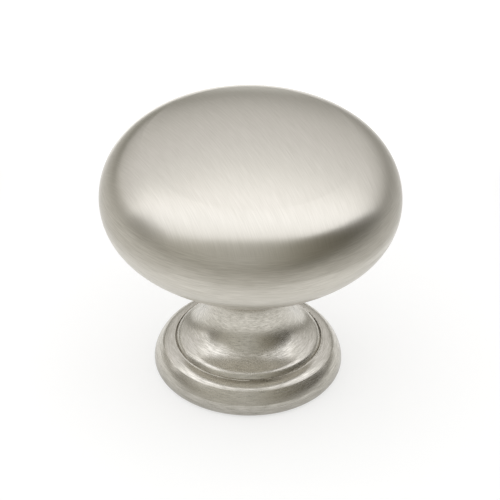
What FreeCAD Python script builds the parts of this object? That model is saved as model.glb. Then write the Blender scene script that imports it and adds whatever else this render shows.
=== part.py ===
import FreeCAD, Part
import math
import os

# Mushroom cabinet knob, cast in zinc as one piece, turned, brushed and nickel plated.
# Frame: millimetres, the knob's axis is Z, the mounting face lies at Z 0 and the crown points up.
# The body is a revolve of one outline. Its arcs meet at a common tangent, and each point of an arc
# is found by the elevation of the outward normal there: 0 is level, 90 is straight up.

# Head
head_radius = 15.875
widest_height = 21.54
overall_height = 29.85
crown_radius = 33.5
lower_edge_radius = 5.55
lower_edge_angle = 44.5
underside_radius = 14.0

# Neck, straight between its fillet under the head and the cove, which flares down to the lip
neck_radius = 4.4
neck_fillet_radius = 5.5
cove_radius = 4.75
cove_top_height = 8.4

# Lip, the bevelled and rounded edge of the cove, and the narrow groove that parts it from the bead
lip_radius = 7.74
lip_rounding = 1.0
lip_bevel_width = 0.32
lip_bevel_angle = 29.0
groove_width = 0.05
groove_depth = 0.2

# Bead of the foot: a bulge, a face that leans in, a rounder shoulder, and a top that slopes up to the groove
foot_radius = 10.04
mounting_radius = 9.49
bulge_height = 0.79
bulge_rounding = 2.4
bulge_angle = 18.5
face_radius = 4.1
face_angle = 40.0
shoulder_radius = 1.5
top_angle = 78.0
rim_rounding = 0.13
rim_angle = 35.0

# Screw hole for a number 8-32 machine screw, with its wall at the thread's root
thread_major_diameter = 4.166
hole_wall_depth = 12.0
drill_point_angle = 118.0
mouth_chamfer = 0.5

# Shallow ring cast into the mounting face around the screw boss
recess_depth = 1.6
recess_outer_radius = 7.7
boss_radius = 4.3
recess_draft = 5.0
recess_corner = 0.4

AXIS = FreeCAD.Vector(0, 0, 1)
CENTRE = FreeCAD.Vector(0, 0, 0)


def at(radius, height):
    """Point of the half section."""
    return FreeCAD.Vector(radius, 0, height)


def outward(elevation):
    """Unit direction in the half section at this elevation above level."""
    angle = math.radians(elevation)
    return at(math.cos(angle), math.sin(angle))


def arc(centre, radius, start, end):
    """Arc about a centre, from one elevation to another."""
    points = [centre + outward(elevation) * radius for elevation in (start, (start + end) / 2, end)]
    return Part.Arc(*points).toShape()


def line(start, end):
    """Straight edge of the half section."""
    return Part.LineSegment(start, end).toShape()


def elevation_of(direction):
    """Elevation of a direction in the half section."""
    return math.degrees(math.atan2(direction.z, direction.x))


def revolved(edges):
    """Solid of revolution of a closed half section."""
    return Part.Face(Part.Wire(edges)).revolve(CENTRE, AXIS, 360)


def foot_edges():
    """From the mounting face's rim, over the bead, to its thin rounded rim at the groove."""
    rim = at(mounting_radius, 0)
    bulge = at(foot_radius, bulge_height)
    step_in = foot_radius - mounting_radius
    corner_radius = (step_in ** 2 + bulge_height ** 2) / (2 * step_in)
    corner_centre = bulge - outward(0) * corner_radius
    bulge_centre = bulge - outward(0) * bulge_rounding
    face_centre = bulge_centre + outward(bulge_angle) * (bulge_rounding - face_radius)
    shoulder_centre = face_centre + outward(face_angle) * (face_radius - shoulder_radius)

    # The top is straight, and the rim stands just proud of it
    top_start = shoulder_centre + outward(top_angle) * shoulder_radius
    rim_start_radius = lip_radius + groove_width + rim_rounding * (1 + outward(rim_angle).x)
    rise = (top_start.x - rim_start_radius) / math.tan(math.radians(top_angle))
    top_end = at(rim_start_radius, top_start.z + rise)
    rim_centre = top_end - outward(rim_angle) * rim_rounding
    return [
        arc(corner_centre, corner_radius, elevation_of(rim - corner_centre), 0),
        arc(bulge_centre, bulge_rounding, 0, bulge_angle),
        arc(face_centre, face_radius, bulge_angle, face_angle),
        arc(shoulder_centre, shoulder_radius, face_angle, top_angle),
        line(top_start, top_end),
        arc(rim_centre, rim_rounding, rim_angle, 180),
    ], rim_centre - outward(0) * rim_rounding


def groove_edges(bead_edge, lip_edge):
    """Narrow groove with upright walls, between the bead and the lip."""
    floor = bead_edge.z - groove_depth
    corners = [bead_edge, at(bead_edge.x, floor), at(lip_edge.x, floor), lip_edge]
    return [line(a, b) for a, b in zip(corners, corners[1:])]


def cove_edges():
    """Bevelled lip, its rounding, and the hollow curve that touches it and rises to the neck."""
    cove_centre = at(neck_radius + cove_radius, cove_top_height)
    bevel_run = outward(lip_bevel_angle + 90) * lip_bevel_width
    to_bevel_end = outward(lip_bevel_angle) * lip_rounding
    lip_centre_radius = lip_radius + bevel_run.x - to_bevel_end.x
    lip_run = cove_centre.x - lip_centre_radius
    lip_drop = math.sqrt((cove_radius + lip_rounding) ** 2 - lip_run ** 2)
    lip_centre = at(lip_centre_radius, cove_top_height - lip_drop)
    touch = elevation_of(cove_centre - lip_centre)
    bevel_end = lip_centre + to_bevel_end
    lip_edge = bevel_end - bevel_run
    return [
        line(lip_edge, bevel_end),
        arc(lip_centre, lip_rounding, lip_bevel_angle, touch),
        arc(cove_centre, cove_radius, touch + 180, 180),
    ], lip_edge


def head_edges():
    """From the neck, along the underside and round the edge, to the top of the crown."""
    edge_centre = at(head_radius - lower_edge_radius, widest_height)
    under_centre = edge_centre + outward(-lower_edge_angle) * (lower_edge_radius - underside_radius)

    # The neck's fillet touches the neck upright and the underside's arc from outside
    fillet_run = neck_radius + neck_fillet_radius - under_centre.x
    fillet_drop = math.sqrt((underside_radius + neck_fillet_radius) ** 2 - fillet_run ** 2)
    fillet_centre = at(neck_radius + neck_fillet_radius, under_centre.z - fillet_drop)
    under_start = elevation_of(fillet_centre - under_centre)

    # The upper edge's arc touches the widest circle upright and the crown's arc from inside
    crown_centre = at(0, overall_height - crown_radius)
    above = widest_height - crown_centre.z
    upper_edge_radius = (crown_radius ** 2 - head_radius ** 2 - above ** 2) / (2 * (crown_radius - head_radius))
    upper_centre = at(head_radius - upper_edge_radius, widest_height)
    crown_start = elevation_of(upper_centre - crown_centre)
    return [
        line(at(neck_radius, cove_top_height), at(neck_radius, fillet_centre.z)),
        arc(fillet_centre, neck_fillet_radius, 180, under_start + 180),
        arc(under_centre, underside_radius, under_start, -lower_edge_angle),
        arc(edge_centre, lower_edge_radius, -lower_edge_angle, 0),
        arc(upper_centre, upper_edge_radius, 0, crown_start),
        arc(crown_centre, crown_radius, crown_start, 90),
    ]


def body():
    """Outer form of the knob, solid to the axis."""
    foot, bead_edge = foot_edges()
    cove, lip_edge = cove_edges()
    outline = foot + groove_edges(bead_edge, lip_edge) + cove + head_edges()
    apex = at(0, overall_height)
    closing = [line(apex, CENTRE), line(CENTRE, at(mounting_radius, 0))]
    return revolved(outline + closing)


def screw_hole():
    """Blind hole with a chamfered mouth and the cone that the drill leaves."""
    wall = thread_major_diameter / 2
    point_depth = wall / math.tan(math.radians(drill_point_angle / 2))
    corners = [
        at(0, -mouth_chamfer),
        at(wall + 2 * mouth_chamfer, -mouth_chamfer),
        at(wall, mouth_chamfer),
        at(wall, hole_wall_depth),
        at(0, hole_wall_depth + point_depth),
    ]
    return revolved([line(a, b) for a, b in zip(corners, corners[1:] + corners[:1])])


def recess():
    """Drafted ring pocket with rounded floor corners, open at the mounting face."""
    taper = recess_depth * math.tan(math.radians(recess_draft))
    corners = [
        at(boss_radius, 0),
        at(recess_outer_radius, 0),
        at(recess_outer_radius - taper, recess_depth),
        at(boss_radius + taper, recess_depth),
    ]
    pocket = revolved([line(a, b) for a, b in zip(corners, corners[1:] + corners[:1])])
    floor = [edge for edge in pocket.Edges if edge.BoundBox.ZMin > recess_depth / 2 and edge.Closed]
    return pocket.makeFillet(recess_corner, floor)


def knob():
    """The whole casting."""
    return body().cut(recess()).cut(screw_hole())


os.makedirs("parts", exist_ok=True)
knob().exportStep("parts/knob.step")
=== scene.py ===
import math

import bmesh
import bpy
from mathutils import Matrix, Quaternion, Vector


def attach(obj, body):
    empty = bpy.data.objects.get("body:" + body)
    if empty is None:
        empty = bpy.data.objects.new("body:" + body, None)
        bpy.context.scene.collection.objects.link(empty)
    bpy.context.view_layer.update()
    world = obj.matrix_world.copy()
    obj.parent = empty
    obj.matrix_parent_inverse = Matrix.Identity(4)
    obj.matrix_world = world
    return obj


MM = 0.001
IMAGE_SIDE = 500

# Camera, as the photograph was taken: metres, degrees and pixels of the photograph
CAMERA_DISTANCE = 0.4
CAMERA_ELEVATION = 34.8
CAMERA_ROLL = 0.93
FOCAL_PIXELS = 3829
WIDEST_HEIGHT = 21.54 * MM
WIDEST_PIXEL = (250.6, 196.7)

# Screw thread, number 8-32 UNC
THREAD_PITCH = 25.4 / 32 * MM
THREAD_ROOT_RADIUS = 4.166 / 2 * MM
THREAD_CREST_RADIUS = 3.307 / 2 * MM
THREAD_START = 0.6 * MM
THREAD_END = 11.5 * MM

# Brushing: the belt's direction over the crown, seen from above, in degrees, and the size of one
# scratch. One that runs round the knob has its full length at this radius, and is shorter further in.
CROWN_BRUSHING = -63
SCRATCH_LENGTH = 2.2 * MM
SCRATCH_WIDTH = 0.09 * MM
FULL_LENGTH_RADIUS = 18 * MM
SIDE_SCRATCH_DEPTH = 0.0015 * MM
CROWN_SCRATCH_DEPTH = 0.0002 * MM

# How far the noise strays from its middle, a half, where a scratch is at its dullest or brightest
SIDE_SPREAD = 0.16
CROWN_SPREAD = 0.38

# Heights over which the painted shade at the foot's lowest edge fades out, and between which one finish
# turns into the next
PAINTED_FOOT_SHADE = (0.5 * MM, 2.4 * MM)
NECK_TO_HEAD = (11 * MM, 16 * MM)
SIDE_TO_RIM = (17.5 * MM, 22.0 * MM)
RIM_TO_CROWN = (23.8 * MM, 25.4 * MM)

# Paper on the floor, in metres from the knob's axis: the stretches over which its painted pool of light
# begins or ends, and over which it brightens towards the back, and how far the painted grey falloff beyond
# it reaches
PAINTED_POOL_SIDE = (0.027, 0.04)
PAINTED_POOL_FRONT = (-0.048, -0.027)
PAINTED_POOL_REAR = (0.1, 0.5)
PAINTED_POOL_BRIGHTENING = (0.035, 0.07)
PAINTED_FALLOFF_REACH = 0.5
PAINTED_RIGHT_SHADE_REACH = 0.15
PAPER_HALF_SIDE = 3
PAPER_DROP = 0.02 * MM

# Softbox, in metres: its height over the floor, and the stretches over which its cloth changes
SOFTBOX_HEIGHT = 0.07
CLOTH_DEPTH = (-0.08, 0.24)
CLOTH_LEFT = (-0.22, -0.13)


def linear(code):
    """A colour written as sRGB hex, as the linear values that shaders take."""
    values = [int(code[i:i + 2], 16) / 255 for i in (1, 3, 5)]
    return [v / 12.92 if v <= 0.04045 else ((v + 0.055) / 1.055) ** 2.4 for v in values] + [1]


def add(tree, kind, inputs, stops=(), **settings):
    """Adds a node with its settings and, on a colour ramp, its stops of a place and an sRGB code.

    Each input, by its name or its number, is a plain value or the output that feeds it. On a map
    range, 0 is the value, 1 and 2 are the range that it comes from, and 3 and 4 the one that it
    goes to. On a mix, 0 is the share, and the two things mixed are 2 and 3 for numbers, 4 and 5
    for directions, and 6 and 7 for colours.
    """
    node = tree.nodes.new(kind)
    for name, value in settings.items():
        setattr(node, name, value)
    if stops:
        on_ramp = node.color_ramp.elements
        for end, (place, code) in zip(on_ramp, (stops[0], stops[-1])):
            end.position, end.color = place, linear(code)
        for place, code in stops[1:-1]:
            on_ramp.new(place).color = linear(code)
    for name, value in inputs.items():
        if isinstance(value, bpy.types.NodeSocket):
            tree.links.new(value, node.inputs[name])
        else:
            node.inputs[name].default_value = value
    return node.outputs


def new_tree(name):
    """An empty material and its node tree."""
    material = bpy.data.materials.new(name)
    material.use_nodes = True
    material.node_tree.nodes.clear()
    return material, material.node_tree


def satin_nickel():
    """Zinc casting, brushed with a fine belt and plated with nickel.

    The brushing leaves short hair-fine scratches, which blur what the metal mirrors across them and
    keep it sharper along them. They cross the crown in straight lines, and run round the knob below
    it. They are drawn a little coarser than real ones, so that they show.
    """
    material, tree = new_tree("satin_nickel_plate")
    place = add(tree, "ShaderNodeTexCoord", {})["Object"]
    z = add(tree, "ShaderNodeSeparateXYZ", {0: place})["Z"]

    # Way in which the metal is brushed: round the knob, or straight across it from the rim up
    belt = math.radians(CROWN_BRUSHING)
    wrapped = add(tree, "ShaderNodeMapRange", {0: z, 1: SIDE_TO_RIM[0], 2: SIDE_TO_RIM[1]},
                  interpolation_type="SMOOTHSTEP")[0]
    around = add(tree, "ShaderNodeTangent", {}, direction_type="RADIAL", axis="Z")[0]
    straight = add(tree, "ShaderNodeCombineXYZ", {0: math.cos(belt), 1: math.sin(belt)})[0]
    scratch_way = add(tree, "ShaderNodeMix", {0: wrapped, 4: around, 5: straight}, data_type="VECTOR")[1]

    # Scratches that show: straight ones over the crown
    across = add(tree, "ShaderNodeMapping", {
        0: place,
        "Rotation": (0, 0, belt),
        "Scale": (SCRATCH_LENGTH, SCRATCH_WIDTH, SCRATCH_LENGTH),
    }, vector_type="TEXTURE")[0]
    crown_scratches = add(tree, "ShaderNodeTexNoise", {0: across, "Scale": 1.0, "Detail": 2.0})[0]

    # Scratches that show: those round the rest. Place is counted in scratches, by the direction
    # from the axis, the height and, as the noise's fourth measure, the distance from the axis.
    level_place = add(tree, "ShaderNodeVectorMath", {0: place, 1: (1, 1, 0)}, operation="MULTIPLY")[0]
    radius = add(tree, "ShaderNodeVectorMath", {0: level_place}, operation="LENGTH")["Value"]
    facing = add(tree, "ShaderNodeVectorMath", {0: level_place}, operation="NORMALIZE")[0]
    turns = add(tree, "ShaderNodeVectorMath", {0: facing, "Scale": FULL_LENGTH_RADIUS / SCRATCH_LENGTH},
                operation="SCALE")[0]
    height = add(tree, "ShaderNodeMath", {0: z, 1: 1 / SCRATCH_WIDTH}, operation="MULTIPLY")[0]
    rings = add(tree, "ShaderNodeCombineXYZ", {2: height})[0]
    round_place = add(tree, "ShaderNodeVectorMath", {0: turns, 1: rings}, operation="ADD")[0]
    outward = add(tree, "ShaderNodeMath", {0: radius, 1: 1 / SCRATCH_WIDTH}, operation="MULTIPLY")[0]
    round_scratches = add(tree, "ShaderNodeTexNoise", {
        0: round_place,
        1: outward,
        "Scale": 1.0,
        "Detail": 3.0,
    }, noise_dimensions="4D")[0]
    crown = add(tree, "ShaderNodeMapRange", {0: z, 1: RIM_TO_CROWN[0], 2: RIM_TO_CROWN[1]},
                interpolation_type="SMOOTHSTEP")[0]
    scratches = add(tree, "ShaderNodeMix", {0: crown, 2: round_scratches, 3: crown_scratches},
                    data_type="FLOAT")[0]

    # A scratch tilts the metal by a degree or two below the crown, and by far less on it, which had
    # a finer belt. Each is a little duller or brighter than the next, most of all below the crown.
    depth = add(tree, "ShaderNodeMapRange", {0: crown, 3: SIDE_SCRATCH_DEPTH, 4: CROWN_SCRATCH_DEPTH})[0]
    bump = add(tree, "ShaderNodeBump", {"Height": scratches, "Distance": depth, "Strength": 1.0})[0]
    least = add(tree, "ShaderNodeMapRange", {0: crown, 3: 0.5 - SIDE_SPREAD, 4: 0.5 - CROWN_SPREAD})[0]
    most = add(tree, "ShaderNodeMapRange", {0: crown, 3: 0.5 + SIDE_SPREAD, 4: 0.5 + CROWN_SPREAD})[0]
    tone = add(tree, "ShaderNodeMapRange", {0: scratches, 1: least, 2: most})[0]

    # The foot and neck are brushed less evenly than the head, with bright smooth stretches and dull
    # rough ones side by side
    head = add(tree, "ShaderNodeMapRange", {0: z, 1: NECK_TO_HEAD[0], 2: NECK_TO_HEAD[1]})[0]
    dull = add(tree, "ShaderNodeMix", {0: head, 6: linear("#bcb8ae"), 7: linear("#c2beb4")},
               data_type="RGBA")[2]
    bright = add(tree, "ShaderNodeMix", {0: head, 6: linear("#d9d5cc"), 7: linear("#d4d0c7")},
                 data_type="RGBA")[2]
    brushed = add(tree, "ShaderNodeMix", {0: tone, 6: dull, 7: bright}, data_type="RGBA")[2]
    roughest = add(tree, "ShaderNodeMapRange", {0: head, 3: 0.29, 4: 0.3})[0]
    smoothest = add(tree, "ShaderNodeMapRange", {0: head, 3: 0.19, 4: 0.28})[0]
    roughness = add(tree, "ShaderNodeMix", {0: tone, 2: roughest, 3: smoothest}, data_type="FLOAT")[0]

    # Painted shade: the lowest edge of the foot is darkened in its colour, for the shaded floor that it
    # mirrors near its base
    painted_foot_shade = add(tree, "ShaderNodeMapRange", {0: z, 1: PAINTED_FOOT_SHADE[0], 2: PAINTED_FOOT_SHADE[1], 3: 0.67, 4: 1.0},
                  interpolation_type="SMOOTHSTEP")[0]
    colour = add(tree, "ShaderNodeVectorMath", {0: brushed, "Scale": painted_foot_shade}, operation="SCALE")[0]
    shader = add(tree, "ShaderNodeBsdfPrincipled", {
        "Base Color": colour,
        "Metallic": 1.0,
        "Roughness": roughness,
        "Normal": bump,
        "Anisotropic": 0.7,
        "Anisotropic Rotation": 0.25,
        "Tangent": scratch_way,
    })[0]
    add(tree, "ShaderNodeOutputMaterial", {"Surface": shader})
    return material


def flat_sheet(name, corners, height, material):
    """Level sheet of the stage, with its corners in order."""
    mesh = bpy.data.meshes.new(name)
    form = bmesh.new()
    form.faces.new([form.verts.new((x, y, height)) for x, y in corners])
    form.to_mesh(mesh)
    mesh.materials.append(material)
    sheet = bpy.data.objects.new(name, mesh)
    bpy.context.collection.objects.link(sheet)
    return sheet


def floor():
    """White paper that the knob stands on, glowing with a painted pool of light as large as the picture.

    Beyond the pool the paper glows with painted light that dims to grey, darker at the right and from a
    tenth of a metre on: the head mirrors that. Some of the white is the light that falls on the paper,
    which keeps the knob's soft shadow.
    """
    material, tree = new_tree("paper_with_painted_light")
    place = add(tree, "ShaderNodeTexCoord", {})["Object"]
    x, y = add(tree, "ShaderNodeSeparateXYZ", {0: place})[:2]
    # Painted light: beyond the pool the paper glows grey, dimmer from a tenth of a metre on and towards the
    # right, where less light falls
    distance = add(tree, "ShaderNodeVectorMath", {0: place}, operation="LENGTH")["Value"]
    away = add(tree, "ShaderNodeMapRange", {0: distance, 1: 0.0, 2: PAINTED_FALLOFF_REACH})[0]
    grey = add(tree, "ShaderNodeValToRGB", {0: away},
               stops=((0.05, "#cac8c2"), (0.17, "#dad7d0"), (0.21, "#aeaba2"), (0.5, "#aeaba2"),
                      (1.0, "#8c8a80")))[0]
    right = add(tree, "ShaderNodeMapRange", {0: x, 1: 0.0, 2: PAINTED_RIGHT_SHADE_REACH, 3: 1.0, 4: 0.35})[0]
    painted_dim_glow = add(tree, "ShaderNodeEmission", {"Color": grey, "Strength": right})[0]

    # Painted pool of light, glowing in the paper, brightest behind the knob
    side = add(tree, "ShaderNodeMath", {0: x}, operation="ABSOLUTE")[0]
    width = add(tree, "ShaderNodeMapRange", {0: side, 1: PAINTED_POOL_SIDE[0], 2: PAINTED_POOL_SIDE[1], 3: 1.0, 4: 0.0})[0]
    front = add(tree, "ShaderNodeMapRange", {0: y, 1: PAINTED_POOL_FRONT[0], 2: PAINTED_POOL_FRONT[1]})[0]
    rear = add(tree, "ShaderNodeMapRange", {0: y, 1: PAINTED_POOL_REAR[0], 2: PAINTED_POOL_REAR[1], 3: 1.0, 4: 0.0})[0]
    depth = add(tree, "ShaderNodeMath", {0: front, 1: rear}, operation="MULTIPLY")[0]
    pool = add(tree, "ShaderNodeMath", {0: width, 1: depth}, operation="MULTIPLY")[0]
    strength = add(tree, "ShaderNodeMapRange", {
        0: y,
        1: PAINTED_POOL_BRIGHTENING[0],
        2: PAINTED_POOL_BRIGHTENING[1],
        3: 1.22,
        4: 2.5,
    })[0]
    bright = add(tree, "ShaderNodeEmission", {"Color": (1, 1, 1, 1), "Strength": strength})[0]
    glow = add(tree, "ShaderNodeMixShader", {0: pool, 1: painted_dim_glow, 2: bright})[0]
    paper = add(tree, "ShaderNodeBsdfDiffuse", {"Color": linear("#f2f2f0")})[0]
    sheet = add(tree, "ShaderNodeMixShader", {0: 0.5, 1: glow, 2: paper})[0]

    # From below the paper is clear, so that the mounting face and the screw hole can be looked at
    from_below = add(tree, "ShaderNodeNewGeometry", {})["Backfacing"]
    clear = add(tree, "ShaderNodeBsdfTransparent", {})[0]
    seen = add(tree, "ShaderNodeMixShader", {0: from_below, 1: sheet, 2: clear})[0]
    add(tree, "ShaderNodeOutputMaterial", {"Surface": seen})
    half = PAPER_HALF_SIDE
    flat_sheet("floor", [(-half, -half), (half, -half), (half, half), (-half, half)], -PAPER_DROP, material)


def softbox():
    """Cloth of a light tent close over the knob, brightest above the crown and at the left.

    It stops just over the camera's line of sight, and further back at either side.
    """
    material, tree = new_tree("tent_cloth")
    place = add(tree, "ShaderNodeTexCoord", {})["Object"]
    x, y = add(tree, "ShaderNodeSeparateXYZ", {0: place})[:2]
    behind = add(tree, "ShaderNodeMapRange", {0: y, 1: CLOTH_DEPTH[0], 2: CLOTH_DEPTH[1]})[0]
    cloth = add(tree, "ShaderNodeValToRGB", {0: behind},
                stops=((0.0, "#dddcdc"), (0.19, "#f7f8fc"), (0.265, "#f5f5f8"), (0.3, "#e0e0e1"),
                       (0.345, "#cfcfd0"), (0.41, "#c5c4c5"), (0.6, "#b5b4b3"), (1.0, "#a09f9d")))[0]
    strength = add(tree, "ShaderNodeMapRange", {
        0: x,
        1: CLOTH_LEFT[0],
        2: CLOTH_LEFT[1],
        3: 2.3,
        4: 1.68,
    })[0]
    glow = add(tree, "ShaderNodeEmission", {"Color": cloth, "Strength": strength})[0]
    add(tree, "ShaderNodeOutputMaterial", {"Surface": glow})
    front_edge = [(-0.1, -0.067), (-0.05, -0.062), (-0.016, -0.0555), (0.02, -0.053), (0.045, -0.051),
                  (0.08, -0.036), (0.1, -0.024), (0.13, -0.004)]
    right_and_back = [(0.35, 0.1), (0.35, 0.4), (-0.12, 0.4)]
    left = [(-0.35, 0.24), (-0.35, 0.06), (-0.13, -0.01)]
    sheet = flat_sheet("softbox", front_edge + right_and_back + left, SOFTBOX_HEIGHT, material)
    sheet.visible_camera = False


def studio_world():
    """Walls of the studio: pale grey in front, mid grey at the far left and behind, dark at the right."""
    world = bpy.data.worlds.new("studio")
    bpy.context.scene.world = world
    world.use_nodes = True
    tree = world.node_tree
    tree.nodes.clear()
    way = add(tree, "ShaderNodeTexCoord", {})["Generated"]
    x, y = add(tree, "ShaderNodeSeparateXYZ", {0: way})[:2]
    across = add(tree, "ShaderNodeMapRange", {0: x, 1: -1.0, 2: 1.0})[0]
    front = add(tree, "ShaderNodeValToRGB", {0: across},
                stops=((0.0, "#8a877f"), (0.07, "#b2afa5"), (0.2, "#c6c4bc"), (0.5, "#c9c8c3"),
                       (0.67, "#b2b0a7"), (0.82, "#918d81"), (0.93, "#716d62"), (1.0, "#504d44")))[0]
    behind = add(tree, "ShaderNodeMapRange", {0: y, 1: 0.3, 2: 0.8}, interpolation_type="SMOOTHSTEP")[0]
    walls = add(tree, "ShaderNodeMix", {0: behind, 6: front, 7: linear("#8f8d85")}, data_type="RGBA")[2]
    lit = add(tree, "ShaderNodeBackground", {"Color": walls, "Strength": 1.0})[0]
    add(tree, "ShaderNodeOutputWorld", {"Surface": lit})


def camera():
    """Camera that puts the head's widest plane where the photograph has it."""
    data = bpy.data.cameras.new("camera")
    data.sensor_width = 36
    data.lens = FOCAL_PIXELS / IMAGE_SIDE * data.sensor_width
    eye = bpy.data.objects.new("camera", data)
    bpy.context.collection.objects.link(eye)
    target = Vector((0, 0, WIDEST_HEIGHT))
    elevation = math.radians(CAMERA_ELEVATION)
    eye.location = target + CAMERA_DISTANCE * Vector((0, -math.cos(elevation), math.sin(elevation)))
    half = IMAGE_SIDE / 2
    ray = Vector(((WIDEST_PIXEL[0] - half) / FOCAL_PIXELS, (half - WIDEST_PIXEL[1]) / FOCAL_PIXELS, -1))
    straight = Vector((0, 0, -1))
    facing = (target - eye.location).to_track_quat("-Z", "Y")
    roll = Quaternion((0, 0, 1), math.radians(CAMERA_ROLL))
    eye.rotation_mode = "QUATERNION"
    eye.rotation_quaternion = facing @ roll @ ray.rotation_difference(straight)
    bpy.context.scene.camera = eye


def screw_thread(nickel):
    """Thread in the screw hole: one ridge of V section, wound from the mouth to the last turn."""
    mesh = bpy.data.meshes.new("screw_thread")
    form = bmesh.new()
    steps_a_turn = 48
    steps = round((THREAD_END - THREAD_START) / THREAD_PITCH * steps_a_turn)
    half_root = 0.44 * THREAD_PITCH
    half_crest = 0.07 * THREAD_PITCH
    # The ridge's root is sunk a little into the wall of the hole, so that no gap shows
    sink = 0.02 * MM
    rows = []
    for step in range(steps + 1):
        turn = 2 * math.pi * step / steps_a_turn
        middle = THREAD_START + (THREAD_END - THREAD_START) * step / steps
        # The ridge grows out of the wall over its first and last half turn
        growth = min(1.0, 2 * step / steps_a_turn, 2 * (steps - step) / steps_a_turn)
        crest = THREAD_ROOT_RADIUS - growth * (THREAD_ROOT_RADIUS - THREAD_CREST_RADIUS)
        root = THREAD_ROOT_RADIUS + sink
        section = ((root, -half_root), (crest, -half_crest), (crest, half_crest), (root, half_root))
        rows.append([form.verts.new((radius * math.cos(turn), radius * math.sin(turn), middle + offset))
                     for radius, offset in section])
    for row, following in zip(rows, rows[1:]):
        for i, corner in enumerate(row):
            after = (i + 1) % len(row)
            form.faces.new((corner, row[after], following[after], following[i]))
    form.faces.new(rows[0])
    form.faces.new(rows[-1][::-1])
    bmesh.ops.recalc_face_normals(form, faces=form.faces)
    form.to_mesh(mesh)
    ridge = bpy.data.objects.new("screw_thread", mesh)
    bpy.context.collection.objects.link(ridge)
    mesh.materials.append(nickel)
    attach(ridge, "root")


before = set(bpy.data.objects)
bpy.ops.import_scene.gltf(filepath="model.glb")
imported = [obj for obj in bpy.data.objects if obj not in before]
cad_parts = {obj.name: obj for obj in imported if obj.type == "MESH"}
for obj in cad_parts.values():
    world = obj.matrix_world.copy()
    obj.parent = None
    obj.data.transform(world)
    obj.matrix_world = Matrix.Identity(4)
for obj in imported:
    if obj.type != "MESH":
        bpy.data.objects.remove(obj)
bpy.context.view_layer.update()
camera()
studio_world()
floor()
softbox()
nickel = satin_nickel()
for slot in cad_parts["knob"].material_slots:
    slot.material = nickel
screw_thread(nickel)
bpy.context.scene.view_settings.view_transform = "Standard"
